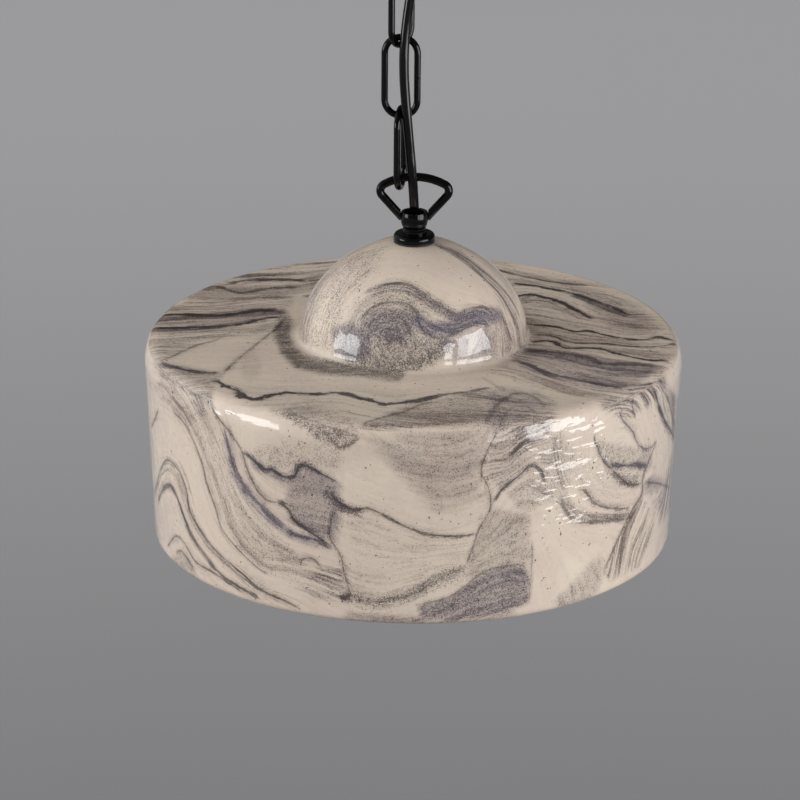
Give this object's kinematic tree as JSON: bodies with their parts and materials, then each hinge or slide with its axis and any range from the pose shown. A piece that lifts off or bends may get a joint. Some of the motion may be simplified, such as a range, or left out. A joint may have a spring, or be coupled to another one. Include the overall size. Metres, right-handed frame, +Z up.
{
  "type": "pendant light",
  "caption": "Pendant light: a marbled ceramic drum shade with a low dome, hung on a short black chain with a flex beside it under a ceiling rose, with a screw-in bulb inside.",
  "frame": {"origin": "on the ceiling plane, on the axis of the lamp and the ceiling rose, midway between the two ceiling slots", "axes": "+Z up out of the ceiling, so the lamp hangs towards -Z; +X to the viewer's right in the picture; +Y away from the viewer"},
  "size_m": [0.32, 0.32, 0.4078],
  "materials": {
    "black_metal": "satin powder coat",
    "zinc_steel": "zinc plated",
    "brass": "satin",
    "marbled_clay": "clear gloss glaze over marbled clay",
    "black_flex": "gloss",
    "brown_core": "satin",
    "blue_core": "satin",
    "earth_core": "satin",
    "white_plastic": "matte",
    "porcelain": "unglazed",
    "gasket_rubber": "matte",
    "clear_glass": "clear",
    "cap_metal": "satin",
    "black_glass": "gloss",
    "solder": "satin",
    "filament": "satin"
  },
  "bodies": {
    "root": {"ceiling_bracket": "zinc_steel", "canopy_studs": "zinc_steel", "stud_nuts": "zinc_steel", "cap_nuts": "black_metal", "canopy": "black_metal", "terminal_block": "white_plastic", "terminal_sleeves": "brass", "terminal_screws": "zinc_steel", "block_screw": "zinc_steel", "earth_tag": "brass", "earth_screw": "brass", "top_core_live": "brown_core", "top_core_neutral": "blue_core", "top_core_earth": "earth_core", "cord_grip": "white_plastic", "grip_screw": "white_plastic", "top_cord_end": "black_flex", "canopy_locknut": "zinc_steel", "canopy_tube": "zinc_steel", "upper_flange": "black_metal", "upper_collar": "black_metal", "upper_cup": "black_metal", "upper_ring": "black_metal", "power_cord": "black_flex"},
    "link_1": {"chain_link_1": "black_metal"},
    "link_2": {"chain_link_2": "black_metal"},
    "link_3": {"chain_link_3": "black_metal"},
    "lamp": {"lamp_ring": "black_metal", "lamp_cup": "black_metal", "lamp_collar": "black_metal", "lamp_flange": "black_metal", "top_gasket": "gasket_rubber", "ceramic_shade": "marbled_clay", "inner_gasket": "gasket_rubber", "inner_washer": "zinc_steel", "lamp_locknut": "zinc_steel", "lamp_tube": "zinc_steel", "holder_cap": "black_metal", "holder_grub_screw": "zinc_steel", "holder_shell": "black_metal", "holder_insulator": "porcelain", "holder_screw_shell": "brass", "holder_contact": "brass", "holder_terminals": "brass", "lamp_cord_end": "black_flex", "lamp_core_live": "brown_core", "lamp_core_neutral": "blue_core", "lamp_core_earth": "earth_core"},
    "bulb": {"bulb_glass": "clear_glass", "bulb_cap": "cap_metal", "bulb_insulator": "black_glass", "bulb_tip": "solder", "bulb_stem": "clear_glass", "bulb_supports": "solder", "bulb_filaments": "filament"}
  },
  "joints": [
    {"name": "link_1_swing", "type": "hinge", "parent": "root", "child": "link_1", "pos_m": [-0.0085, 0, -0.06351], "axis": [0.9733, 0, -0.2297], "range_deg": [-25, 25], "deforming": ["power_cord"]},
    {"name": "link_2_swing", "type": "hinge", "parent": "link_1", "child": "link_2", "pos_m": [-0.0085, 0, -0.10578], "axis": [0.5878, 0.809, 0], "range_deg": [-25, 25], "deforming": ["power_cord"]},
    {"name": "link_3_swing", "type": "hinge", "parent": "link_2", "child": "link_3", "pos_m": [-0.0085, 0, -0.14898], "axis": [0.9903, -0.1392, 0], "range_deg": [-25, 25], "deforming": ["power_cord"]},
    {"name": "lamp_swing", "type": "hinge", "parent": "link_3", "child": "lamp", "pos_m": [-0.0085, 0, -0.19218], "axis": [0.2079, 0.9781, 0], "range_deg": [-20, 20], "deforming": ["power_cord"]},
    {"name": "bulb_unscrew", "type": "slide", "parent": "lamp", "child": "bulb", "axis": [0, 0, -1], "range_m": [0, 0.025]}
  ]
}
